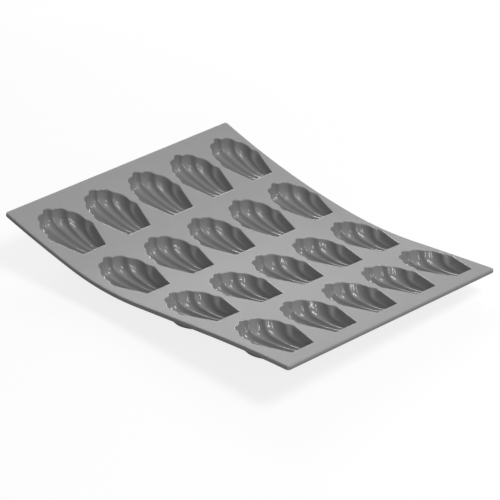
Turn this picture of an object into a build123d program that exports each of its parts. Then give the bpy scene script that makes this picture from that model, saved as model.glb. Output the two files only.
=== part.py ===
from build123d import *
import math
import os

os.makedirs("parts", exist_ok=True)

# A flexible baking mould: one sheet with rows of shell-shaped cups hanging below it.
# X runs along the cups, from the raised end down to the end that lies on the table.
# Y runs across the rows, from the near edge to the far edge. Z is up.

# Cups, as seen in plan
row_count = 4
column_count = 5
cup_length = 71.0
cup_width = 52.5
cup_depth = 17.0
cup_wall = 2.0
row_gap = 12.6
column_gap = 5.9

# Margins of the sheet round the block of cups
head_margin = 12.5
tail_margin = 14.5
near_margin = 9.6
far_margin = 4.3

# Sheet
sheet_thickness = 4.2
corner_radius = 3.0
flex_clearance = 0.3
overrun = 8.0

row_pitch = cup_length + row_gap
column_pitch = cup_width + column_gap
sheet_length = head_margin + tail_margin + (row_count - 1) * row_pitch + cup_length
sheet_width = near_margin + far_margin + (column_count - 1) * column_pitch + cup_width

# Slope of the sheet, in degrees down towards +X, at its ends and at each flex line
near_slopes = (14.6, 10.9, -5.9, -5.9, -1.5)
far_slopes = (19.4, 13.2, 7.3, -4.7, -4.0)
far_edge_rise = 11.6

# The shell's outline, from the near tail corner round the head to the far one: straight
# sides up to the shoulders, then seven lobes. Places are shares of the half width and length.
outline_shares = (
    (-0.57, 0.0),
    (-0.97, 0.39),
    (-0.91, 0.55),
    (-0.665, 0.815),
    (-0.228, 0.935),
    (0.228, 0.935),
    (0.665, 0.815),
    (0.91, 0.55),
    (0.97, 0.39),
    (0.57, 0.0),
)
# How far each piece stands out of the straight line between its two ends
bulge_shares = (0.0, 0.21, 0.18, 0.27, 0.42, 0.27, 0.18, 0.21, 0.0)

# Levels of the cup: depth, length of the outline and width, as shares of the cup's own
level_shares = (
    (0.00, 1.00, 1.00),
    (0.30, 0.96, 0.94),
    (0.60, 0.88, 0.80),
    (0.85, 0.76, 0.55),
    (1.00, 0.60, 0.24),
)
# The keel, towards which the deeper levels draw in, as a share of the length from the tail
keel_share = 0.47
# The floor rises to the tail: its depth at the tail edge, and the length over which it rises
tail_floor_share = 0.68
ramp_share = 0.40

# Ridges between the flutes, which fan from the tail edge to the notches of the outline.
# Each has its place on the tail edge, its notch, the depth of its crest at the crest
# places from tail to notch, and how far its foot reaches to each side.
crest_place_shares = (0.0, 0.1, 0.5, 0.85, 1.0)
ridge_shares = (
    (0.114, 5, (0.20, 0.59, 0.82, 0.75, 0.05), 0.30),
    (0.324, 6, (0.20, 0.55, 0.78, 0.66, 0.05), 0.30),
    (0.476, 7, (0.15, 0.39, 0.47, 0.38, 0.04), 0.14),
)
ridge_foot = 7.5


def flex_places():
    """Distances along the sheet of its raised end, each flex line and its low end."""
    lines = [head_margin + (k + 1) * row_pitch - row_gap / 2 for k in range(row_count - 1)]
    return [0.0] + lines + [sheet_length]


def profile(slopes, rise):
    """Points and slopes, in radians, of one long edge: gentle arcs from place to place."""
    places = flex_places()
    angles = [math.radians(slope) for slope in slopes]
    x, z = 0.0, rise
    found = [(x, z, angles[0])]
    for k in range(row_count):
        run = places[k + 1] - places[k]
        turn = angles[k + 1] - angles[k]
        middle = (angles[k + 1] + angles[k]) / 2
        chord = run * (1 - turn**2 / 24)
        x = x + chord * math.cos(middle)
        z = z - chord * math.sin(middle)
        found.append((x, z, angles[k + 1]))
    return found


def offset_point(station, along, up):
    """A place near a station of an edge: so far down the slope, and so far up from the sheet."""
    x, z, slope = station
    return (
        x + along * math.cos(slope) + up * math.sin(slope),
        z - along * math.sin(slope) + up * math.cos(slope),
    )


def edge_points(start, end, start_skip, up):
    """Four control points of one long edge of a row, lifted from the sheet's top."""
    a = offset_point(start, start_skip, up)
    d = offset_point(end, 0.0, up)
    reach = math.dist(a, d) / 3
    b = offset_point((a[0], a[1], start[2]), reach, 0.0)
    c = offset_point((d[0], d[1], end[2]), -reach, 0.0)
    return [a, b, c, d]


def section(stations, row, y):
    """The sheet's cross-section along one long edge of a row, as a closed wire."""
    start, end = stations[row], stations[row + 1]
    half = sheet_thickness / 2
    socket = half + flex_clearance
    skip = math.sqrt(socket**2 - half**2) if row > 0 else 0.0
    at = lambda p: (p[0], y, p[1])
    top = edge_points(start, end, skip, 0.0)
    bottom = edge_points(start, end, skip, -sheet_thickness)
    edges = [Bezier(*[at(p) for p in top])]
    if row < row_count - 1:
        nose = offset_point(end, half, -half)
        edges.append(ThreePointArc(at(top[3]), at(nose), at(bottom[3])))
    else:
        edges.append(Line(at(top[3]), at(bottom[3])))
    edges.append(Bezier(*[at(p) for p in reversed(bottom)]))
    if row > 0:
        hollow = offset_point(start, socket, -half)
        edges.append(ThreePointArc(at(bottom[0]), at(hollow), at(top[0])))
    else:
        edges.append(Line(at(bottom[0]), at(top[0])))
    return Wire(edges)


def lid_section(stations, row, y):
    """The space just above the sheet, along one long edge of a row, as a closed wire."""
    start, end = stations[row], stations[row + 1]
    at = lambda p: (p[0], y, p[1])
    low = edge_points(start, end, 0.0, 0.0)
    high = edge_points(start, end, 0.0, 2 * overrun)
    edges = [Bezier(*[at(p) for p in low])]
    edges.append(Line(at(low[3]), at(high[3])))
    edges.append(Bezier(*[at(p) for p in reversed(high)]))
    edges.append(Line(at(high[0]), at(low[0])))
    return Wire(edges)


def between_edges(maker, row):
    """A solid ruled straight across the sheet from its near edge to its far edge."""
    near = maker(near_stations, row, 0.0)
    far = maker(far_stations, row, sheet_width)
    return Solid.make_loft([near, far], ruled=True)


def round_corners(slab):
    """Rounds the sheet's own corners, which are the only straight edges through its thickness."""
    upright = [e for e in slab.edges() if e.geom_type == GeomType.LINE and e.length < sheet_thickness * 1.5]
    return fillet(upright, corner_radius) if upright else slab


def bezier_at(points, u):
    """Point and direction on a curve of four control points."""
    a, b, c, d = [Vector(x, 0, z) for x, z in points]
    v = 1 - u
    place = a * v**3 + b * (3 * u * v**2) + c * (3 * u**2 * v) + d * u**3
    along = (b - a) * v**2 + (c - b) * (2 * u * v) + (d - c) * u**2
    return place, along


def sheet_frame(row, s, y):
    """Where the sheet's top is at a distance along and across it, with X down the slope."""
    places = flex_places()
    u = (s - places[row]) / (places[row + 1] - places[row])
    share = y / sheet_width
    near, near_along = bezier_at(edge_points(near_stations[row], near_stations[row + 1], 0.0, 0.0), u)
    far, far_along = bezier_at(edge_points(far_stations[row], far_stations[row + 1], 0.0, 0.0), u)
    far = far + Vector(0, sheet_width, 0)
    place = near * (1 - share) + far * share
    along = near_along * (1 - share) + far_along * share
    normal = along.cross(far - near)
    return Plane(origin=place, x_dir=along, z_dir=normal)


def outline(depth, length, width, tail):
    """One level of a cup: straight sides, lobes between notches and a straight tail edge."""
    points = [(tail - along * length, across * width / 2) for across, along in outline_shares]
    edges = []
    for k, bulge in enumerate(bulge_shares):
        (xa, ya), (xb, yb) = points[k], points[k + 1]
        start, end = (xa, ya, -depth), (xb, yb, -depth)
        if bulge == 0:
            edges.append(Line(start, end))
        else:
            peak = ((xa + xb) / 2 - bulge * (yb - ya), (ya + yb) / 2 + bulge * (xb - xa), -depth)
            edges.append(ThreePointArc(start, peak, end))
    edges.append(Line((*points[-1], -depth), (*points[0], -depth)))
    return Wire(edges)


def ramp(wall):
    """The space below the floor where the floor rises to the tail, lowered by a wall."""
    deep = cup_depth + wall
    shallow = cup_depth * tail_floor_share + wall
    run = cup_length * ramp_share
    rise = (deep - shallow) / run * overrun
    corners = [(overrun, 0, rise - shallow), (-run, 0, -deep), (-run, 0, -2 * deep), (overrun, 0, -2 * deep)]
    return extrude(Face(Wire.make_polygon(corners, close=True)), cup_width, both=True)


def ridge(side, tail_place, notch, crest, foot_share):
    """A wedge under a crest that runs from the tail edge to one notch of the outline."""
    notch_across, notch_along = outline_shares[notch]
    reach = foot_share * cup_width / 2
    sections = []
    for place, depth_share in zip(crest_place_shares, crest):
        across = side * (tail_place * (1 - place) + notch_across * place) * cup_width / 2
        x = -notch_along * place * cup_length
        top = -cup_depth * depth_share
        foot = top - ridge_foot
        corners = [(x, across, top), (x, across + reach, foot), (x, across - reach, foot)]
        sections.append(Wire.make_polygon(corners, close=True))
    return Solid.make_loft(sections, ruled=True)


def cup_body(wall):
    """A solid cup with its tail edge at X = 0 and its rim at Z = 0, grown by a wall."""
    levels = []
    for depth_share, length_share, width_share in level_shares:
        length = cup_length * length_share + 2 * wall
        width = cup_width * width_share + 2 * wall
        depth = (cup_depth + wall) * depth_share
        tail = wall - cup_length * (1 - length_share) * keel_share
        levels.append(outline(depth, length, width, tail))
    body = Solid.make_loft(levels) - ramp(wall)
    rim = Face(levels[0])
    return body + extrude(rim, overrun, dir=(0, 0, 1))


near_stations = profile(near_slopes, 0.0)
far_stations = profile(far_slopes, far_edge_rise)

outer_cup = cup_body(cup_wall)
inner_cup = cup_body(0.0)
for side in (-1, 1):
    for shares in ridge_shares:
        inner_cup = inner_cup - ridge(side, *shares)

nodes = {}
for row in range(row_count):
    web = round_corners(between_edges(section, row))
    lid = between_edges(lid_section, row)
    for column in range(column_count):
        tail = head_margin + cup_length + row * row_pitch
        axis = near_margin + cup_width / 2 + column * column_pitch
        middle = sheet_frame(row, tail - cup_length / 2, axis)
        seat = middle.location * Pos(cup_length / 2, 0, 0)
        outer = seat * outer_cup
        inner = seat * inner_cup
        web = web - outer
        nodes[f"cup_{row + 1}_{column + 1}"] = outer - inner - lid
    nodes[f"sheet_row_{row + 1}"] = web

# The origin is on the table, under the middle of the mould
whole = Compound(children=[Compound(children=shape.solids()) for shape in nodes.values()])
box = whole.bounding_box()
to_origin = Pos(-(box.min.X + box.max.X) / 2, -(box.min.Y + box.max.Y) / 2, -box.min.Z)

for name, shape in nodes.items():
    export_step(to_origin * shape, f"parts/{name}.step")
    print(name, len(shape.solids()), round(shape.volume, 1), shape.is_valid)
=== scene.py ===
import math

import bpy
import numpy as np
from mathutils import Matrix, Vector


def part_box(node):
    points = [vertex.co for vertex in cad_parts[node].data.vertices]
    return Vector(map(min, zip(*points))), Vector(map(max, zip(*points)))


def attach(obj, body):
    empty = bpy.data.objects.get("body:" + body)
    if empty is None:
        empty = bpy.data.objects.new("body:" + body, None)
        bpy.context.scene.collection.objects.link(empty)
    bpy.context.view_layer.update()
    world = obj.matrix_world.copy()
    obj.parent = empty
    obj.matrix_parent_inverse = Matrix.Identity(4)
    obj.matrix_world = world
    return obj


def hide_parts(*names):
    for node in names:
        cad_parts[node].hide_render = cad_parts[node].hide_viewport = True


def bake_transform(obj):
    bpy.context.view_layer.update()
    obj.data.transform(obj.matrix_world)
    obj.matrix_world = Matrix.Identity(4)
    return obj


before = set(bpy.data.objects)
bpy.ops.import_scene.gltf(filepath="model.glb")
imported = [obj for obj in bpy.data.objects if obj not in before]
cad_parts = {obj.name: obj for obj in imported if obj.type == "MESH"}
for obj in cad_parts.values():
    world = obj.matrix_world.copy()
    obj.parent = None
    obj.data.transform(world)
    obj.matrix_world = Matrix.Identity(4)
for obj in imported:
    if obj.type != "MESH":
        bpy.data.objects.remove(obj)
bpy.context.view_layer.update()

MM = 0.001

# Sizes of the mould in millimetres, as in the part's source
row_count = 4
column_count = 5
cup_length = 71.0
cup_width = 52.5
cup_wall = 2.0
row_gap = 12.6
column_gap = 5.9
head_margin = 12.5
tail_margin = 14.5
near_margin = 9.6
far_margin = 4.3
sheet_thickness = 4.2
corner_radius = 3.0
row_pitch = cup_length + row_gap
column_pitch = cup_width + column_gap
sheet_length = head_margin + tail_margin + (row_count - 1) * row_pitch + cup_length
sheet_width = near_margin + far_margin + (column_count - 1) * column_pitch + cup_width
near_slopes = (14.6, 10.9, -5.9, -5.9, -1.5)
far_slopes = (19.4, 13.2, 7.3, -4.7, -4.0)
far_edge_rise = 11.6

# Rounding of the sheet's edges and of the cups' rims
edge_round = 1.2
rim_round = 0.9

# How far the edges stand beyond the source's sheet: raised end, low end, near and far edge.
# The growth fades out over its reach.
edge_growth = (0.7, 0.9, 0.2, 0.6)
growth_reach = 8.0

# The web's borders: how far a cup's cell goes past its head and its tail, and the half
# length of the strip that bends, between the cells of two rows
cell_end = 1.3
cell_half = column_pitch / 2
bend_half = row_gap / 2 - cell_end

# Lengths that keep a division or a root safe
tiny = 1e-9
least = 1e-4


def flex_places():
    """Distances along the sheet of its raised end, each flex line and its low end."""
    lines = [head_margin + (k + 1) * row_pitch - row_gap / 2 for k in range(row_count - 1)]
    return [0.0] + lines + [sheet_length]


def profile(slopes, rise):
    """Points and slopes of one long edge: gentle arcs from place to place."""
    angles = [math.radians(slope) for slope in slopes]
    x, z = 0.0, rise
    found = [(x, z, angles[0])]
    for k in range(row_count):
        run = places[k + 1] - places[k]
        turn = angles[k + 1] - angles[k]
        middle = (angles[k + 1] + angles[k]) / 2
        chord = run * (1 - turn**2 / 24)
        x = x + chord * math.cos(middle)
        z = z - chord * math.sin(middle)
        found.append((x, z, angles[k + 1]))
    return found


places = flex_places()
near_stations = profile(near_slopes, 0.0)
far_stations = profile(far_slopes, far_edge_rise)


def edge_curve(start, end, u):
    """Places and directions along one long edge of a row, for shares u of its length."""
    a = np.array(start[:2])
    d = np.array(end[:2])
    reach = math.dist(a, d) / 3
    b = a + reach * np.array([math.cos(start[2]), -math.sin(start[2])])
    c = d - reach * np.array([math.cos(end[2]), -math.sin(end[2])])
    u = u[:, None]
    v = 1 - u
    place = a * v**3 + b * (3 * u * v**2) + c * (3 * u**2 * v) + d * u**3
    along = (b - a) * v**2 + (c - b) * (2 * u * v) + (d - c) * u**2
    return place, along


def raw_sheet(s, y, up):
    """Points at distances s along and y across the sheet, raised from its top, in millimetres."""
    s, y, up = [np.asarray(v, float) for v in np.broadcast_arrays(s, y, up)]
    shape = s.shape
    s, y, up = s.ravel(), y.ravel(), up.ravel()
    row = np.clip(np.searchsorted(places, s, side="right") - 1, 0, row_count - 1)
    points = np.zeros((s.size, 3))
    for k in np.unique(row):
        here = row == k
        u = (s[here] - places[k]) / (places[k + 1] - places[k])
        share = (y[here] / sheet_width)[:, None]
        near, near_way = edge_curve(near_stations[k], near_stations[k + 1], u)
        far, far_way = edge_curve(far_stations[k], far_stations[k + 1], u)
        place = near * (1 - share) + far * share
        way = near_way * (1 - share) + far_way * share
        gap = far - near
        along = np.stack([way[:, 0], np.zeros(u.size), way[:, 1]], 1)
        across = np.stack([gap[:, 0], np.full(u.size, sheet_width), gap[:, 1]], 1)
        normal = np.cross(along, across)
        normal = normal / np.linalg.norm(normal, axis=1, keepdims=True)
        flat = np.stack([place[:, 0], y[here], place[:, 1]], 1)
        points[here] = flat + normal * up[here][:, None]
    return points.reshape(shape + (3,))


# Where the part's source puts the sheet in the shared frame
first_low, first_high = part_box("sheet_row_1")
raised_end = raw_sheet(0.0, np.array([0.0, sheet_width]), 0.0)
raised_foot = raw_sheet(0.0, np.array([0.0, sheet_width]), -sheet_thickness)
shift = np.array([
    first_low.x / MM - min(raised_foot[:, 0].min(), raised_end[:, 0].min()),
    -sheet_width / 2,
    first_high.z / MM - raised_end[:, 2].max(),
])


def edge_drop(distance, radius):
    """How far a rounded edge lies below the face beside it."""
    inward = np.clip(radius - distance, 0.0, radius)
    return radius - np.sqrt(radius**2 - inward**2)


def on_sheet(s, y, up):
    """Points of the sheet in metres, with its corners rounded in plan."""
    s, y, up = [np.array(v, float) for v in np.broadcast_arrays(s, y, up)]
    edges = (s, sheet_length - s, y, sheet_width - y)
    raised, low, near, far = [
        growth * np.clip(1 - away / growth_reach, 0, 1)
        for growth, away in zip(edge_growth, edges)
    ]
    for end, side in ((0, 0), (0, 1), (1, 0), (1, 1)):
        depth_s = corner_radius - (sheet_length - s if end else s)
        depth_y = corner_radius - (sheet_width - y if side else y)
        corner = (depth_s > 0) & (depth_y > 0)
        largest = np.maximum(depth_s, depth_y)
        away = np.maximum(np.hypot(depth_s, depth_y), tiny)
        scale = np.where(corner, largest / away, 1.0)
        new_s = corner_radius - depth_s * scale
        new_y = corner_radius - depth_y * scale
        s = np.where(corner, sheet_length - new_s if end else new_s, s)
        y = np.where(corner, sheet_width - new_y if side else new_y, y)
    return (raw_sheet(s - raised + low, y - near + far, up) + shift) * MM


class Skin:
    """Collects grids of points as faces of one mesh."""

    join_distance = 2e-7

    def __init__(self):
        self.points = []
        self.faces = []
        self.count = 0

    def grid(self, points, flip=False):
        """Adds a grid of points, shape (m, n, 3). Unflipped, its faces look along m cross n."""
        m, n = points.shape[:2]
        index = np.arange(m * n).reshape(m, n) + self.count
        a, b, c, d = index[:-1, :-1], index[1:, :-1], index[1:, 1:], index[:-1, 1:]
        order = (a, d, c, b) if flip else (a, b, c, d)
        self.faces.append(np.stack(order, -1).reshape(-1, 4))
        self.points.append(points.reshape(-1, 3))
        self.count += m * n

    def build(self, name):
        """Makes the object, with points that coincide joined and empty faces left out."""
        points = np.concatenate(self.points)
        keys = np.round(points / self.join_distance).astype(np.int64)
        first, which = np.unique(keys, axis=0, return_index=True, return_inverse=True)[1:]
        loops = []
        starts = []
        for face in which.reshape(-1)[np.concatenate(self.faces)]:
            kept = [p for k, p in enumerate(face) if p != face[k - 1]]
            if len(set(kept)) > 2:
                starts.append(len(loops))
                loops.extend(kept)
        mesh = bpy.data.meshes.new(name)
        mesh.vertices.add(len(first))
        mesh.vertices.foreach_set("co", points[first].astype(np.float32).ravel())
        mesh.loops.add(len(loops))
        mesh.loops.foreach_set("vertex_index", np.array(loops, np.int32))
        mesh.polygons.add(len(starts))
        mesh.polygons.foreach_set("loop_start", np.array(starts, np.int32))
        mesh.update(calc_edges=True)
        mesh.validate()
        mesh.shade_smooth()
        piece = bpy.data.objects.new(name, mesh)
        bpy.context.scene.collection.objects.link(piece)
        return piece


# A cup's outline from its near tail corner round the head to the far one. Each corner has its
# place as shares of the half width and of the length, and its flute number: the middle flute
# is 0, and a half is the crest between two flutes.
outline_corners = (
    (-0.57, 0.0, -3.5),
    (-0.97, 0.39, -2.83),
    (-0.91, 0.55, -2.5),
    (-0.665, 0.815, -1.5),
    (-0.228, 0.935, -0.5),
    (0.228, 0.935, 0.5),
    (0.665, 0.815, 1.5),
    (0.91, 0.55, 2.5),
    (0.97, 0.39, 2.83),
    (0.57, 0.0, 3.5),
)
# How far each stretch between two corners stands out, as a share of it, and its steps
bulge_shares = (0.0, 0.21, 0.18, 0.27, 0.42, 0.27, 0.18, 0.21, 0.0)
steps = (20, 10, 14, 14, 14, 14, 14, 10, 20)
side_steps = sum(steps[:3])
head_steps = sum(steps[3:6])
softening_rounds = 3
# The cosine of half the sharpest turn at which the rim keeps its full width
sharpest_turn = 0.6

# The cups' rims are a little shorter at the head, narrower and longer at the tail than in
# the part's source
head_draw = 1.6
side_draw = 0.25
tail_growth = 1.0
half_width = cup_width / 2 - side_draw

# Where the crests end on the tail edge, from the middle, by flute number
tail_flutes = (0, 0.5, 1.5, 2.5, 3.5)
tail_crests = (0, 2.9, 8.4, 12.4, outline_corners[-1][0] * half_width)


def arc(start, end, bulge, count):
    """Points on an arc from start to end that stands out by a share of its chord."""
    share = np.linspace(0, 1, count + 1)[:, None]
    chord = end - start
    if bulge == 0:
        return start + chord * share
    length = np.hypot(*chord)
    rise = bulge * length
    radius = (length**2 / 4 + rise**2) / (2 * rise)
    out = np.array([-chord[1], chord[0]]) / length
    centre = (start + end) / 2 + out * (rise - radius)
    angle = (2 * share - 1) * math.asin(length / 2 / radius)
    return centre + out * radius * np.cos(angle) + chord / length * radius * np.sin(angle)


def cup_outline():
    """Points (across, along) of the head and sides, and each one's flute number."""
    size = np.array([half_width, cup_length - head_draw])
    corners = [size * corner[:2] for corner in outline_corners]
    corners[0][1] = corners[-1][1] = -tail_growth
    line = corners[0][None]
    numbers = [outline_corners[0][2]]
    for k, count in enumerate(steps):
        line = np.concatenate([line, arc(corners[k], corners[k + 1], bulge_shares[k], count)[1:]])
        numbers.extend(np.linspace(outline_corners[k][2], outline_corners[k + 1][2], count + 1)[1:])
    for again in range(softening_rounds):
        line[1:-1] = (line[:-2] + 2 * line[1:-1] + line[2:]) / 4
    return line, np.array(numbers)


def outward(points):
    """Directions out of a closed outline at its points, longer where it turns."""
    before = points - np.roll(points, 1, 0)
    turned = np.stack([-before[:, 1], before[:, 0]], 1)
    first = turned / np.maximum(np.linalg.norm(turned, axis=1, keepdims=True), tiny)
    second = np.roll(first, -1, 0)
    mean = first + second
    mean = mean / np.linalg.norm(mean, axis=1, keepdims=True)
    cosine = np.clip((mean * first).sum(1), sharpest_turn, 1.0)
    return mean / cosine[:, None]


rim_line, flute = cup_outline()
far_flute = np.abs(flute)[:, None]
tail_across = np.sign(flute) * np.interp(np.abs(flute), tail_flutes, tail_crests)
tail_edge = np.stack([tail_across, np.full(flute.size, -tail_growth)], 1)

# Directions out of the rim for the head and sides and for the tail edge, which share two ends
directions = outward(np.concatenate([rim_line, tail_edge[-2:0:-1]]))
rim_out = directions[:len(rim_line)]
tail_out = np.concatenate([rim_out[:1], directions[len(rim_line):][::-1], rim_out[-1:]])

# The inner lines of the rim, where its rounding ends
outline = rim_line - rim_out * rim_round
tail_line = tail_edge - tail_out * rim_round
side_start = np.array([-outline[0, 0], outline[0, 1]])
side_end = np.abs(outline[steps[0] - 2])
side_way = (side_end - side_start) / np.linalg.norm(side_end - side_start)

# Shape of a cup's inside: how steeply the wall falls, how sharply it turns into the floor,
# the floor's depth and deepest place, and how much it rises to the tail and to the head
wall_rise = 4.2
wall_bend = 1.5
floor_depth = 17.4
deepest_place = 38.0
tail_rise = 0.08
head_rise = 0.12

# Its smooth outer shape: the tail's wall, and the ellipse of the head
tail_turn = 0.7
tail_slope = 0.2
head_width, head_height, head_base = 26.0, 36.1, 33.0
shape_sharpness = 6.0

# The lobes of the rim fade out down the wall, and faster beside the outer flutes
lobe_fade = 3.2
outer_fade = 5.0
outer_flute = 1.7

# Ridges between the flutes: their height, how much of it is lost at the tail in the middle
# and for each flute further out, and the reach of the last one in flutes
ridge_height = 4.9
tail_loss = 0.2
flute_loss = 0.24
last_crest = 2.5
last_reach = 0.7
depth_power = 1.1

# Steps along a flute: down the wall, along the floor and up the tail
wall_steps = (0, 0.12, 0.35, 0.7, 1.15, 1.7, 2.4, 3.2, 4.1, 5.1, 6.2, 7.5, 9.0, 10.8, 12.8)
tail_steps = (0, 0.12, 0.35, 0.7, 1.15, 1.7, 2.4, 3.2, 4.1, 5.1, 6.3, 7.8)
flute_run = 66.4
floor_count = 30


def wall_distance(across, along):
    """Distance inside the cup's smooth outer shape: tail line, straight sides and round head."""
    past = along - outline[0, 1]
    tail = np.maximum(1 - np.exp(-past / tail_turn) + tail_slope * past, least)
    beside = side_way[1] * (np.abs(across) - side_start[0])
    side = np.maximum(side_way[0] * (along - side_start[1]) - beside, least)
    up = np.maximum(along - head_base, 0.0)
    reach = np.hypot(across / head_width, up / head_height)
    slope = np.hypot(across / head_width**2, up / head_height**2) / np.maximum(reach, tiny)
    head = np.maximum((1 - reach) / np.maximum(slope, tiny), least)
    power = -shape_sharpness
    return (tail**power + side**power + head**power) ** (1 / power)


def cup_grid():
    """The inside of a cup as (across, along, up), for each flute line and each step along it."""
    wall, tail = np.array(wall_steps), flute_run - np.array(tail_steps)[::-1]
    floor = np.linspace(wall[-1], tail[0], floor_count)[1:-1]
    down = np.concatenate([wall, floor, tail]) / flute_run
    share = down[None, :, None]
    plan = outline[:, None, :] * (1 - share) + tail_line[:, None, :] * share
    across, along = plan[..., 0], plan[..., 1]

    # The bowl
    inset = wall_distance(outline[:, 0], outline[:, 1])[:, None]
    fade = lobe_fade + outer_fade * np.clip(far_flute - outer_flute, 0, 1)
    reach = np.maximum(wall_distance(across, along) - inset * np.exp(-down * fade), least)
    back = np.clip(1 - along / deepest_place, 0, 1)
    front = np.clip((along - deepest_place) / (cup_length - deepest_place), 0, 1)
    bottom = floor_depth * (1 - tail_rise * back**2 - head_rise * front**2)
    power = -wall_bend
    depth = ((wall_rise * reach) ** power + bottom**power) ** (1 / power)

    # The ridges, parabolas that meet in a crest
    between = np.abs(2 * ((far_flute + 0.5) % 1.0) - 1)
    last = np.clip(1 - (far_flute - last_crest) / last_reach, 0, 1)
    beside = np.where(far_flute > last_crest, last, between)
    loss = tail_loss + flute_loss * np.minimum(far_flute, last_crest)
    height = ridge_height * (1 - loss * back)
    depth = depth - height * beside**2 * (depth / floor_depth) ** depth_power
    return np.concatenate([plan, -(depth + rim_round)[..., None]], 2)


def grid_normals(grid):
    """Upward directions of a grid of (across, along, up) points."""
    normal = np.cross(np.gradient(grid, axis=1), np.gradient(grid, axis=0))
    length = np.linalg.norm(normal, axis=2, keepdims=True)
    normal = normal / np.maximum(length, tiny)
    normal[0] = normal[1]
    normal[-1] = normal[-2]
    return normal * np.where(normal[..., 2:] < 0, -1, 1)


inside = cup_grid()
outside = (inside - grid_normals(inside) * cup_wall)[::2, ::2]
rim_steps = np.array([1.0, 0.8, 0.55, 0.3, 0.12, 0.03, 0.0]) * rim_round


def cup_place(row, column):
    """Where a cup's tail edge is along the sheet, and its middle across it."""
    tail = head_margin + cup_length + row * row_pitch
    axis = near_margin + cup_width / 2 + column * column_pitch
    return tail, axis


def cup_piece(row, column):
    """One cup: its rounded rim, its fluted inside and its outside below the sheet."""
    tail, axis = cup_place(row, column)
    seat = lambda grid: on_sheet(tail - grid[..., 1], axis + grid[..., 0], grid[..., 2])
    skin = Skin()
    for line, out, flip in ((outline, rim_out, True), (tail_line, tail_out, False)):
        plan = line[:, None, :] + out[:, None, :] * rim_steps[None, :, None]
        low = np.broadcast_to(-edge_drop(rim_steps, rim_round), plan.shape[:2])
        skin.grid(seat(np.concatenate([plan, low[..., None]], 2)), flip)
    skin.grid(seat(inside), flip=True)
    skin.grid(seat(outside))
    return skin.build(f"shell_cup_{row + 1}_{column + 1}")


# Places of the web's grids: in from the sheet's edges, down its side, from a cell's border to
# the cup's rim, along a cell's side past the shoulder, and across and along a strip
edge_steps = np.array([0, 0.04, 0.15, 0.35, 0.62, 0.9, 1.35, 1.9, 2.5, 3.0])
near_step = 4.5
end_steps = (5.0, 8.0)
least_step = 0.1
wall_levels = np.linspace(-edge_round, -sheet_thickness + edge_round, 4)
cell_shares = np.array([0.0, 0.35, 0.7, 1.0])[None, :, None]
shoulder_place = 45.0
side_places = np.concatenate([
    np.linspace(-cell_end, shoulder_place, steps[0] + steps[1] + 1),
    np.linspace(shoulder_place, cup_length + cell_end, steps[2] + 1)[1:],
])
strip_count = 118
strip_step = 0.9
strip_across = np.concatenate([
    edge_steps[:-1],
    np.linspace(edge_steps[-1], sheet_width - edge_steps[-1], strip_count),
    (sheet_width - edge_steps[:-1])[::-1],
])


def both_faces(skin, s, y):
    """Adds the top and bottom of the sheet over a grid of places."""
    s, y = np.meshgrid(s, y, indexing="ij")
    from_edge = np.minimum(np.minimum(s, sheet_length - s), np.minimum(y, sheet_width - y))
    drop = edge_drop(from_edge, edge_round)
    skin.grid(on_sheet(s, y, -drop))
    skin.grid(on_sheet(s, y, drop - sheet_thickness), flip=True)


def side_wall(skin, s, y):
    """Adds the sheet's side along its edge, whose places run anticlockwise from above."""
    s, y = np.broadcast_arrays(s, y)
    skin.grid(on_sheet(s[:, None], y[:, None], wall_levels[None, :]), flip=True)


def long_sides(skin, s):
    """Adds the sheet's near and far sides along some places."""
    side_wall(skin, s, 0.0)
    side_wall(skin, s[::-1], sheet_width)


def cell(skin, row, column):
    """Adds the web round one cup, top and bottom, out to the borders of its cell."""
    tail, axis = cup_place(row, column)
    pairs = lambda across, along: np.stack(np.broadcast_arrays(across, along), 1)
    head_across = np.linspace(-cell_half, cell_half, head_steps + 1)[1:-1]
    around = np.concatenate([
        pairs(-cell_half, side_places),
        pairs(head_across, cup_length + cell_end),
        pairs(cell_half, side_places[::-1]),
    ])
    behind = pairs(np.linspace(-cell_half, cell_half, len(outline)), -cell_end)
    lines = ((outline, rim_out, around, True), (tail_line, tail_out, behind, False))
    for line, out, border, flip in lines:
        top = line + out * rim_round
        for goal, up, turned in ((top, 0.0, flip), (line, -sheet_thickness, not flip)):
            plan = border[:, None, :] * (1 - cell_shares) + goal[:, None, :] * cell_shares
            skin.grid(on_sheet(tail - plan[..., 1], axis + plan[..., 0], up), flip=turned)


def web_row(skin, row):
    """Adds the web of one row without the strips at its two ends: its margins and cells."""
    s = (cup_place(row, 0)[0] - side_places)[::-1]
    near_inner = near_margin + cup_width / 2 - cell_half
    far_inner = sheet_width - near_inner - column_count * column_pitch
    near_y = np.concatenate([edge_steps, [near_step, near_inner]])
    far_y = np.append(edge_steps[edge_steps < far_inner - least_step], far_inner)
    both_faces(skin, s, near_y)
    both_faces(skin, s, sheet_width - far_y[::-1])
    long_sides(skin, s)
    for column in range(column_count):
        cell(skin, row, column)


def bend_strip(skin, line):
    """Adds the strip of web right across the sheet that bends at a flex line."""
    count = math.ceil(2 * bend_half / strip_step) + 1
    s = np.linspace(places[line] - bend_half, places[line] + bend_half, count)
    both_faces(skin, s, strip_across)
    long_sides(skin, s)


def end_strip(skin, low):
    """Adds the margin at the raised or the low end, with its end wall and rounded corners."""
    margin = (tail_margin if low else head_margin) - cell_end
    s = np.concatenate([edge_steps, end_steps, [margin]])
    if low:
        s = sheet_length - s[::-1]
        side_wall(skin, sheet_length, strip_across)
    else:
        side_wall(skin, 0.0, strip_across[::-1])
    both_faces(skin, s, strip_across)
    long_sides(skin, s)


def web_piece(name, *rows):
    """The web of some rows, each with the strip that bends or the end of the sheet beside it."""
    skin = Skin()
    for row in rows:
        if row == 0:
            end_strip(skin, low=False)
        web_row(skin, row)
        if row < row_count - 1:
            bend_strip(skin, row + 1)
        else:
            end_strip(skin, low=True)
    return skin.build(name)


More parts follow.
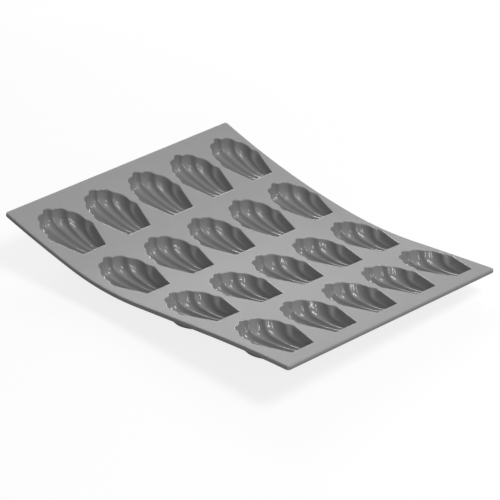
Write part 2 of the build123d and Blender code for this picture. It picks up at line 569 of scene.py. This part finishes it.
# The web in three pieces, each with the strip across one flex line
webs = [
    web_piece("web_row_1", 0),
    web_piece("web_row_2", 1),
    web_piece("web_rows_3_4", 2, 3),
]
cups = {
    (row, column): cup_piece(row, column)
    for row in range(row_count) for column in range(column_count)
}


class Value:
    """A number inside a finish's nodes, so that its maths reads as plain sums."""

    def __init__(self, nodes, socket):
        self.nodes = nodes
        self.socket = socket

    def combine(self, kind, other):
        """Adds the Math node that combines this with another value or number."""
        made = self.nodes.node("ShaderNodeMath", {"operation": kind}, {0: self, 1: other})
        return Value(self.nodes, made.outputs[0])

    def __add__(self, other):
        return self.combine("ADD", other)

    def __mul__(self, other):
        return self.combine("MULTIPLY", other)

    __radd__ = __add__
    __rmul__ = __mul__


class Nodes:
    """The nodes of a finish, or of the studio's light, under construction."""

    def __init__(self, owner):
        owner.use_nodes = True
        self.tree = owner.node_tree
        self.tree.nodes.clear()

    def node(self, kind, settings, sockets):
        """Adds a node: its settings first, then the values or links of its sockets."""
        made = self.tree.nodes.new(kind)
        for name, value in settings.items():
            setattr(made, name, value)
        for place, value in sockets.items():
            value = value.socket if isinstance(value, Value) else value
            if isinstance(value, bpy.types.NodeSocket):
                self.tree.links.new(value, made.inputs[place])
            else:
                made.inputs[place].default_value = value
        return made

    def noise(self, where, size, detail, rough):
        """Noise whose grains are about this size, in metres, as a value from 0 to 1."""
        sockets = {"Vector": where, "Scale": 1 / size, "Detail": detail, "Roughness": rough}
        return Value(self, self.node("ShaderNodeTexNoise", {}, sockets).outputs["Fac"])

    def mix(self, share, first, second):
        """One shader turning into another."""
        sockets = {0: share, 1: first.outputs[0], 2: second.outputs[0]}
        return self.node("ShaderNodeMixShader", {}, sockets)


# Silicone: sizes of its grain, its swell and its patches of shade, and how far its shade strays
grain_size = 0.0011
swell_size = 0.014
patch_size = 0.05
shade_stray = 0.045


def silicone(name, grey, rough, grain, swell):
    """Grey silicone with a fine grain, a faint swell and a slight change of shade."""
    made = bpy.data.materials.new(name)
    nodes = Nodes(made)
    where = nodes.node("ShaderNodeTexCoord", {}, {}).outputs["Object"]
    fine = nodes.noise(where, grain_size, detail=3.0, rough=0.6)
    soft = nodes.noise(where, swell_size, detail=2.0, rough=0.5)
    patch = nodes.noise(where, patch_size, detail=2.0, rough=0.5)
    tone = nodes.node("ShaderNodeMix", {"data_type": "RGBA"}, {
        "Factor": patch * 0.7 + fine * 0.3,
        6: (*[c * (1 - shade_stray) for c in grey], 1),
        7: (*[c * (1 + shade_stray) for c in grey], 1),
    })
    height = fine * grain + soft * swell
    bump = nodes.node("ShaderNodeBump", {}, {"Strength": 1.0, "Distance": 1.0, "Height": height})
    shader = nodes.node("ShaderNodeBsdfPrincipled", {}, {
        "Base Color": tone.outputs[2],
        "Roughness": rough + fine * 0.1,
        "Normal": bump.outputs[0],
        "IOR": 1.43,
    })
    nodes.node("ShaderNodeOutputMaterial", {}, {"Surface": shader.outputs[0]})
    return made


web_grey = silicone(
    "matte_silicone", grey=(0.265, 0.265, 0.27), rough=0.5, grain=0.0001, swell=0.00012
)
# The cups are the web's silicone, polished; their darker grey is painted shade for the shade in the
# hollows
cup_grey_painted_shade = silicone(
    "polished_silicone_painted_shade", grey=(0.235, 0.235, 0.24), rough=0.08, grain=0.0, swell=0.00001
)

# How far to each side of a flex line flex_ends puts its points, at the middle of the sheet's
# thickness
flex_reach = 4.5


def flex_ends(line):
    """Two points of the shared frame, one on each side of a flex line, square to it."""
    at = lambda s, y: on_sheet(s, y, -sheet_thickness / 2)
    middle = at(places[line], sheet_width / 2)
    along_line = at(places[line], sheet_width) - at(places[line], 0.0)
    along_line = along_line / np.linalg.norm(along_line)
    ahead = at(places[line] + 1, sheet_width / 2) - middle
    ahead = ahead - along_line * (ahead @ along_line)
    ahead = ahead / np.linalg.norm(ahead) * flex_reach * MM
    return tuple(middle - ahead), tuple(middle + ahead)


for line, piece in enumerate(webs, start=1):
    start, end = flex_ends(line)
    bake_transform(piece)
    piece.data.materials.append(web_grey)
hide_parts("sheet_row_1")
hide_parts("sheet_row_2")
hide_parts("sheet_row_3", "sheet_row_4")
for (row, column), piece in cups.items():
    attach(piece, f"row_{row + 1}")
    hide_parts(f"cup_{row + 1}_{column + 1}")
    # The cups' darker grey is painted shade
    piece.data.materials.append(cup_grey_painted_shade)


def stand(made, place, aim, roll=0.0):
    """Puts a camera or lamp at a place, looking at aim and rolled by some degrees."""
    bpy.context.scene.collection.objects.link(made)
    turn = (Vector(aim) - Vector(place)).to_track_quat("-Z", "Y").to_matrix()
    turn = turn @ Matrix.Rotation(math.radians(roll), 3, "Z")
    made.matrix_world = Matrix.Translation(place) @ turn.to_4x4()


def lamp(name, place, size, power):
    """A soft rectangular lamp that looks at the middle of the mould."""
    light = bpy.data.lights.new(name, "AREA")
    light.shape = "RECTANGLE"
    light.size, light.size_y = size
    light.energy = power
    stand(bpy.data.objects.new(name, light), place, (0, 0, 0))


# Camera, at the photograph's angle
lens = bpy.data.cameras.new("camera")
lens.sensor_width = 36.0
lens.lens = 118.8
camera = bpy.data.objects.new("camera", lens)
stand(camera, (0.87766, -1.05337, 0.72284), aim=(-0.00306, 0.00236, 0.02639), roll=4.483)
bpy.context.scene.camera = camera

# Lamps: one overhead, two strips that draw double streaks in the cups, and one behind
lamp("overhead_softbox", (0.8, 0.32, 1.62), size=(0.7, 0.7), power=24)
lamp("front_strip_right", (1.27, -1.06, 0.70), size=(0.06, 0.6), power=4.2)
lamp("front_strip_left", (0.90, -1.39, 0.70), size=(0.06, 0.6), power=3.4)
lamp("back_softbox", (-1.2, 1.17, 0.78), size=(0.9, 0.7), power=15)

# The studio gives a dim light, and looks white to the camera
white = (1, 1, 1, 1)
world = bpy.data.worlds.new("studio")
bpy.context.scene.world = world
nodes = Nodes(world)
seen = nodes.node("ShaderNodeLightPath", {}, {}).outputs["Is Camera Ray"]
dim = nodes.node("ShaderNodeBackground", {}, {"Color": white, "Strength": 0.13})
bright = nodes.node("ShaderNodeBackground", {}, {"Color": white, "Strength": 1.0})
light = nodes.mix(seen, dim, bright)
nodes.node("ShaderNodeOutputWorld", {}, {"Surface": light.outputs[0]})

# The floor shows white to the camera, and keeps the mould's shadow
floor_half = 3.0
floor_mesh = bpy.data.meshes.new("floor")
corners = [(x * floor_half, y * floor_half, 0) for x, y in ((-1, -1), (1, -1), (1, 1), (-1, 1))]
floor_mesh.from_pydata(corners, [], [(0, 1, 2, 3)])
floor = bpy.data.objects.new("floor", floor_mesh)
bpy.context.scene.collection.objects.link(floor)
floor_white = bpy.data.materials.new("floor_white")
nodes = Nodes(floor_white)
seen = nodes.node("ShaderNodeLightPath", {}, {}).outputs["Is Camera Ray"]
plain = nodes.node("ShaderNodeBsdfDiffuse", {}, {"Color": (0.3, 0.3, 0.3, 1)})
pale = nodes.node("ShaderNodeBsdfDiffuse", {}, {"Color": (0.95, 0.95, 0.95, 1)})
glow = nodes.node("ShaderNodeEmission", {}, {"Color": white, "Strength": 1.0})
paint = nodes.mix(seen, plain, nodes.mix(0.82, pale, glow))
nodes.node("ShaderNodeOutputMaterial", {}, {"Surface": paint.outputs[0]})
floor_mesh.materials.append(floor_white)

bpy.context.scene.view_settings.view_transform = "Standard"
